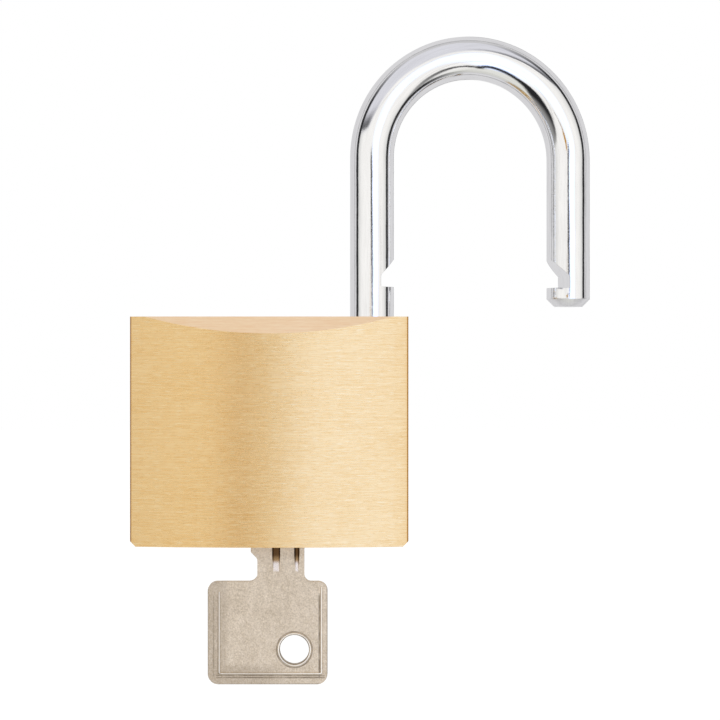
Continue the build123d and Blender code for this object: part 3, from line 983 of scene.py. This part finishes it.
# %% Mix the key's metal
def stamped_metal():
    """Dull pebbled skin, polished raised lines with a painted highlight, painted shade at creases, rims
    and groove ends, and milled grooves.
    """
    tree = Metal("stamped_nickel_silver")
    place = tree.place()
    across, deep_in, level = (axis * (1 / mm) for axis in tree.axes(place))
    depth = deep_in.size()
    pebble = tree.noise(0.00030, place)
    grit = tree.noise(0.00013, place)
    blotch = tree.noise(0.0013, place)
    cloud = tree.noise(0.005, place)
    cutter = tree.noise((0.00008, 0.00008, 0.004), place)

    # Where the raised lines are, where their feet are, and where the cutter has been
    ridge = depth.step(key_half + ridge_proud * 0.2, key_half + ridge_proud * 0.6)
    past_left = border_left - across
    past_right = across - border_right
    below = border_low - level
    outside = past_left.at_least(past_right).at_least(below)
    beside = band(past_left, 0.80, 0.14, 0.12) * 0.75
    beside = beside.at_least(band(past_left, 0.10, 0.08, 0.06) * 0.6)
    beside = beside.at_least(band(past_right, -0.62, 0.14, 0.08))
    under = band(below, 0.14, 0.10, 0.08).at_least(band(below, 0.52, 0.14, 0.08) * 0.9)
    side_feet = beside * below.fall(0.3, 0.5)
    low_feet = under * past_left.fall(0.2, 0.5) * past_right.fall(0.2, 0.5)
    feet = side_feet.at_least(low_feet) * level.fall(-9.5, -8.6)
    # Painted shade: the outer margin at the left and the bottom, the rounded outer edge of the bow, and
    # the field just inside the border at the left and the bottom are darkened
    margin = outside.step(0.0, 1.2) * across.fall(-2, 6) * level.fall(-12.0, -7.0)
    rim = (bow_left - across).at_least(bow_bottom - level).at_least(across - bow_right)
    rim_shade = rim.step(-0.22, -0.05) * level.fall(-7.5, -6.8)
    from_hole = distance(across - hole[0], level - hole[1])
    collar = 1 - (from_hole - (hole_radius + hole_rim + 0.10)).size().step(0.03, 0.16)
    throat = from_hole.fall(hole_radius + 0.02, hole_radius + 0.16)
    patchy = (blotch * 1.8 - 0.1).within(0.45, 1)
    # Painted shade in patches: dark lines at the feet of the raised lines, round the hole's rim and just
    # inside the hole
    crease_shade = feet.at_least(collar).at_least(throat) * (1 - ridge) * patchy
    hollow_shade = past_left.at_least(below).step(-2.6, -0.7) * across.fall(-4, 8)
    shade = (margin * 0.16).at_least(rim_shade * 0.6).at_least(hollow_shade * 0.24)

    # A groove's bottom climbs to the surface where the cutter ran out. Its flanks, and its part nearest
    # the block, get painted shade
    climbing = key_half + groove_clear - (level - run_out_start) * run_out_slope
    groove_floor = climbing.at_least(key_half - groove_depth)
    sunk = depth.fall(key_half - 0.10, key_half - 0.02)
    milled = sunk * level.step(run_out_start, run_out_start + 0.3)
    flank = (depth - groove_floor).step(0.02, 0.08) * level.step(-5.0, -3.2)
    inner = level.step(-3.6, -2.7)
    shaded = level.step(-2.9, -1.7).at_least(flank * 0.95)

    pale = (0.93, 0.790, 0.595, 1)
    deep = (0.60, 0.480, 0.325, 1)
    rubbed_ridge_highlight = (1.0, 0.90, 0.75, 1)
    shade_brown = (0.20, 0.145, 0.09, 1)
    run_out = (0.95, 0.85, 0.74, 1)
    warm = (0.42, 0.26, 0.11, 1)
    groove_shade_brown = (0.11, 0.05, 0.012, 1)
    skin = tree.blend(mottled((pebble, 1.6), (blotch, 0.6), (cloud, 0.6), (grit, 1.2)), deep, pale)
    # The raised lines are polished by rubbing, and their colour is painted brighter as well: a painted
    # highlight
    painted_light_tone = tree.blend(ridge, skin, rubbed_ridge_highlight)
    # The painted shade darkens the skin
    shaded_skin = tree.blend((crease_shade * 0.88).at_least(shade), painted_light_tone, shade_brown)
    # Painted shade in the grooves: dark brown on the flanks and nearest the block, over the warm metal
    # and the pale run-out
    groove = tree.blend(shaded, tree.blend(inner, run_out, warm), groove_shade_brown)
    colour = tree.blend(milled * 0.97, shaded_skin, groove)
    roughness = 0.38 + pebble * 0.10 - ridge * 0.14 - milled * 0.18
    height = (pebble + blotch * 0.5 + grit * 0.5) * (1 - milled) + cutter * milled * 0.05
    return tree.dressed(colour, roughness, height, 0.42, 0.00007)


key_metal = stamped_metal()
print("key metal nodes:", len(key_metal.node_tree.nodes))

# %% [markdown]
# The key
#
# A key starts as a flat blank, so it starts here as one outline with its corners rounded, pushed
# to the thickness of the strip. Cuts, grooves, the hole and the stepped rim are taken out of it,
# as the press and the cutters do, so each of them has one size to change.

# %% Stamp the blank
# Each corner has its place and its radius: the bow, the stop, the cuts, the tip and the bow again
stop_left = blade_left - stop_width
corners = [
    (bow_left, bow_bottom, 1.9),
    (bow_left, bow_top, 1.7),
    (blade_left, bow_top, 1.5),
    (blade_left, stop_top - stop_height - stop_width, 0.8),
    (stop_left, stop_top - stop_height, 0.5),
    (stop_left, stop_top, 0.15),
    (blade_left, stop_top, 0.1),
    (blade_left, pin_pitch - cut_land - first_cut, 0),
    (blade_left + first_cut, pin_pitch - cut_land, 0),
]
for pin in pins[:-1]:
    root = blade_left + first_cut + cut_step * (pin - 1)
    land_end = pin_pitch * pin + cut_land
    corners += [(root, land_end, 0), (root + cut_step, land_end + cut_step, 0)]
corners += [
    (tip_left - tip_corner, blade_tip - tip_corner, 0),
    (tip_left, blade_tip, 0),
    (blade_right - tip_chamfer, blade_tip, 0),
    (blade_right, blade_tip - tip_chamfer, 0),
    (blade_right, bow_top, 1.2),
    (bow_right, bow_top, 1.7),
    (bow_right, bow_bottom, 1.9),
]
outline = rounded([(x, z) for x, z, radius in corners], [radius for x, z, radius in corners])
blank = prism(outline, -key_half, key_half, "Y")

past_key = 2.0
key_cutters = [bore(hole, hole_radius, -past_key, past_key, "Y")]
rim_outline = [
    (bow_left - 1, border_high),
    (bow_left - 1, bow_bottom - 1),
    (bow_right + 1, bow_bottom - 1),
    (bow_right + 1, border_high),
    (border_right, border_high),
    (border_right, border_low),
    (border_left, border_low),
    (border_left, border_high),
]
for side in (-1, 1):
    ends = (side * (key_half - rim_step), side * past_key)
    rim_cutter = prism(rim_outline, min(ends), max(ends), "Y")

    # The step runs out towards the bow's upper corners
    for corner in rim_cutter.data.vertices:
        if abs(corner.co.y) < key_half and corner.co.z > border_high - 0.01:
            corner.co.y = side * (key_half + 0.02)
    flat_sided(rim_cutter)
    key_cutters.append(rim_cutter)
for left, right, side in grooves:
    deep_y = side * (key_half - groove_depth)
    clear_y = side * (key_half + groove_clear)
    deep_from = run_out_start + (groove_clear + groove_depth) / run_out_slope
    groove_outline = [
        (clear_y, run_out_start),
        (deep_y, deep_from),
        (deep_y, blade_tip + 1),
        (clear_y, blade_tip + 1),
        (clear_y, deep_from + 1),
    ]
    cutter = prism(groove_outline, left, right, "X")

    # The cutter's flanks lean in, so a groove is narrower where it is shallow
    for corner in cutter.data.vertices:
        if corner.co.z < deep_from + 0.5 or abs(corner.co.y) < key_half:
            corner.co.x += flank_width if corner.co.x < (left + right) / 2 else -flank_width
    flat_sided(cutter)
    key_cutters.append(cutter)
cut_out(blank, key_cutters)
soften(blank, 0.09)
print("key blank corners:", len(corners))

# %% [markdown]
# The raised lines of the key
#
# The die that stamps a bow leaves a raised line inside its edge and a rim round its hole. Round
# wires, sunk by more than half, have just that soft top. They keep their own closed shells, since
# joining them into the blank would leave slivers along their feet.

# %% Raise the border and the rim of the hole
wire_inputs = {"Wire Radius": "Float", "Corner Radius": "Float", "Round Steps": "Int"}
wire_tree = ShapeTree("wire_on_a_line", wire_inputs)
corner_sizes = {"Curve": wire_tree.given_line(), "Count": 8, "Radius": wire_tree.input("Corner Radius")}
soft_line = wire_tree.value("GeometryNodeFilletCurve", {"mode": "POLY"}, corner_sizes)
wire_tree.sweep(soft_line, wire_tree.input("Wire Radius"), wire_tree.input("Round Steps"))

ridges = []
left = border_left + ridge_radius
right = border_right - ridge_radius
low = border_low + ridge_radius
u_shape = [(left, border_high), (left, low), (right, low), (right, border_high + 0.8)]
ring_shape = circle(hole, hole_radius + hole_rim / 2, 72)
sizes = {"Wire Radius": ridge_radius, "Round Steps": 16, "Finish": key_metal}
for side in (-1, 1):
    ridge_y = side * (key_half + ridge_proud - ridge_radius)
    for name, shape, soft, closed in (("ridge", u_shape, 0.25, False), ("rim", ring_shape, 0.0, True)):
        line = [(x, ridge_y, z) for x, z in shape]
        ridges.append(grow(wire_tree, name, {**sizes, "Corner Radius": soft}, line, closed))
print("raised lines:", len(ridges))


# %% Join the key
def joined(things):
    """One bench object from several, each keeping its own closed shell."""
    tool = bmesh.new()
    for thing in things:
        tool.from_mesh(result_of(thing))
    return on_bench(tool)


key_whole = joined([blank, *ridges])
key_piece = to_metres(key_whole, "stamped_key", key_metal, [blank, *ridges, *key_cutters])
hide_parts("key")
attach(key_piece, "key")

# %% [markdown]
# Springs
#
# All eight springs are the same rule with other numbers: a round wire on a helix that climbs
# more slowly near its ends. One tree makes them. The springs that shorten when the lock works
# get meshes of their own here, and they keep their length, as the five behind the pins do.

# %% Wind the springs
coil_inputs = {"Coil Radius": "Float", "Wire Radius": "Float", "Length": "Float"}
coil = ShapeTree("coil", {**coil_inputs, "Turns": "Float", "Steps Per Turn": "Int"})
turns = coil.input("Turns")
straight = coil.value("GeometryNodeCurvePrimitiveLine", {"mode": "POINTS"}, {"End": (0, 0, 1)})
spots = {"Curve": straight, "Count": turns * coil.input("Steps Per Turn") + 1}
many = coil.value("GeometryNodeResampleCurve", {"mode": "COUNT"}, spots)
along = coil.value("GeometryNodeSplineParameter", output="Factor")
angle = along * turns * (2 * math.pi)
full_turn = along * (2 * math.pi)
slow_ends = 0.35
climb = along - full_turn.apply("SINE") * (slow_ends / (2 * math.pi))
wire_radius = coil.input("Wire Radius")
coil_radius = coil.input("Coil Radius")
rise = wire_radius + climb * (coil.input("Length") - wire_radius * 2)
helix = coil.vector(coil_radius * angle.apply("COSINE"), coil_radius * angle.apply("SINE"), rise)
coil.sweep(coil.moved(many, helix), wire_radius, 12)
print("coil tree nodes:", len(coil.nodes))

# %% [markdown]
# Spring steel
#
# Spring wire is drawn through a die and left as it comes, grey and a little uneven. Each spring
# then takes its seat. The two between the bolts end short of the heel bolt by that bolt's slack,
# so that it never cuts into them.


# %% Mix the steel of the springs, and set the springs in their places
def drawn_wire():
    """Plain grey wire."""
    tree = Metal("drawn_wire")
    drawn = tree.noise(0.0002, tree.place())
    cloud = tree.noise(0.002, tree.place())
    colour = tree.blend(cloud, (0.50, 0.50, 0.51, 1), (0.62, 0.61, 0.60, 1))
    return tree.dressed(colour, 0.22 + drawn * 0.14 + cloud * 0.08, drawn, 0.1, 0.00003)


wire_steel = drawn_wire()


def spring(name, coil_sizes, place):
    """A wound spring in the place of the CAD model's plainer one."""
    sizes = {**coil_sizes, "Turns": 4, "Steps Per Turn": 32, "Finish": wire_steel}
    piece = to_metres(grow(coil, name, sizes), name + "_wound", wire_steel)
    piece.data.transform(place)
    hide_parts(name)
    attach(piece, "lock")
    return piece


def seat(x, y, z, along="Z"):
    """The place of a spring's foot, in millimetres, and the axis that it stands along."""
    upright = Matrix() if along == "Z" else Matrix.Rotation(math.radians(90), 4, "Y")
    return Matrix.Translation(Vector((x, y, z)) * mm) @ upright


def flatten(piece):
    """Give a spring a mesh of its own, shared with no other object; its length is left as it is."""
    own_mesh(piece)


shackle_coil = {"Coil Radius": 3.1, "Wire Radius": 0.4, "Length": 18.24}
shackle_spring = spring("shackle_spring", shackle_coil, seat(leg_x, 0, heel_bore_floor))
flatten(shackle_spring)

heel_bolt_slack = 0.3
bolt_spring_length = 5.37 - heel_bolt_slack
bolt_coil = {"Coil Radius": 1.1, "Wire Radius": 0.2, "Length": bolt_spring_length}
for name, start_x, y in (("bolt_spring_front", 1.88, -1.725), ("bolt_spring_rear", -10.5, 1.725)):
    bolt_spring = spring(name, bolt_coil, seat(start_x, y, bolt_axis_z, "X"))
    flatten(bolt_spring)

driver_coil = {"Coil Radius": 1.05, "Wire Radius": 0.175, "Length": 11.38}
chamber_plug_end_x = -22.4
for pin in pins:
    spring(f"driver_spring_{pin}", driver_coil, seat(chamber_plug_end_x, 0, pin_pitch * pin, "X"))

# %% [markdown]
# What turns and slides inside
#
# Pins, plug, cam and bolts are small lathe and mill work, and the CAD model has their exact
# shapes, so its nodes are kept and only dressed. A lathe leaves fine rings, so one finish takes
# a coordinate that runs across the rings: the distance from the plug's own axis, or the way
# along a pin. The plugs pressed into the block's side are ground flush with it.


# %% Dress the CAD nodes that stay
def turned_metal(name, deep, pale, roughness, spindle):
    """Metal cut on a lathe. The spindle is the plug's own axis, or it lies along X or Z."""
    tree = Metal(name)
    place = tree.place()
    fine, wide = 0.00007, 0.005
    stretches = {"plug": (fine, fine, 1), "X": (fine, wide, wide), "Z": (wide, wide, fine)}
    rings = place
    if spindle == "plug":
        x, y, z = tree.axes(place)
        rings = tree.vector(distance(x, y), z)
    ring = tree.noise(stretches[spindle], rings)
    step = tree.noise(tuple(size * 4 for size in stretches[spindle]), rings)
    cloud = tree.noise(0.002, place)
    grit = tree.noise(0.0002, place)
    mottle = mottled((ring, 0.8), (step, 0.8), (cloud, 0.8), (grit, 0.4))
    worn = roughness + ring * 0.12 - cloud.step(0.52, 0.62) * 0.08
    height = ring + step * 0.8 + grit * 0.3
    return tree.dressed(tree.blend(mottle, deep, pale), worn, height, 0.3, 0.00003)


brass_tones = (0.66, 0.42, 0.16, 1), (0.86, 0.62, 0.30, 1)
steel_tones = (0.42, 0.42, 0.43, 1), (0.66, 0.66, 0.66, 1)
pin_names = [f"{kind}_pin_{pin}" for kind in ("key", "driver") for pin in pins]
ground_names = ["bolt_heel", "bolt_toe", "shackle_retaining_pin"]
dressings = [
    (["plug", "cam"], turned_metal("turned_plug_brass", *brass_tones, 0.24, "plug")),
    (pin_names, turned_metal("turned_pin_brass", *brass_tones, 0.20, "X")),
    (ground_names, turned_metal("ground_steel", *steel_tones, 0.22, "X")),
    (["spring_cup", "plug_snap_ring"], turned_metal("turned_steel", *steel_tones, 0.26, "Z")),
    (["chamber_plugs", "bolt_channel_plug"], flush_brass),
]
for names, finish in dressings:
    for name in names:
        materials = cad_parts[name].data.materials
        materials.clear()
        materials.append(finish)
    print(finish.name, "on", len(names), "nodes")
